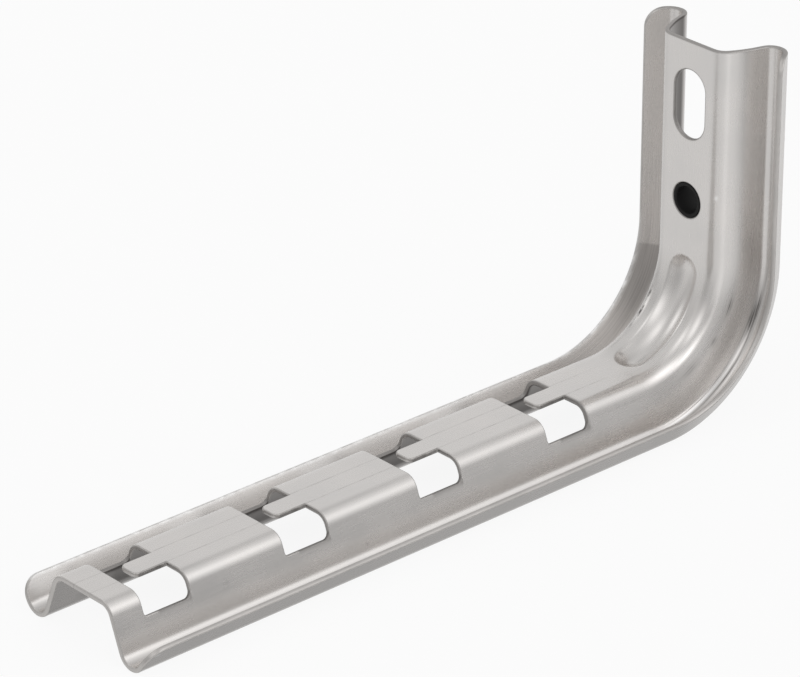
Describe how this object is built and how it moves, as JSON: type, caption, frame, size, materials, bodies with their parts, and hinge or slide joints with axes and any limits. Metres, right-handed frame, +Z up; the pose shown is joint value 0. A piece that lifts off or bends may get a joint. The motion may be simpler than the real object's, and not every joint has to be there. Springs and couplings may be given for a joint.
{
  "type": "cantilever strut arm",
  "caption": "Wall bracket folded from stainless sheet: a short wall leg and a long arm of hat section, with tongued notches that hold wire tray and a bead in the bend.",
  "frame": {"origin": "centre of the round fixing hole, on the face of the wall leg that looks out along the arm", "axes": "+X out from the wall along the arm, +Y sideways across the arm, +Z up the wall leg"},
  "size_m": [0.246, 0.0568, 0.113],
  "materials": {
    "stainless_sheet": "dull pickled stainless sheet, faint rolling grain, darker sheared edges",
    "black_plastic": "plain black moulded plastic"
  },
  "bodies": {
    "root": {"bracket_arm": "stainless_sheet", "hole_bush": "black_plastic"}
  },
  "joints": []
}
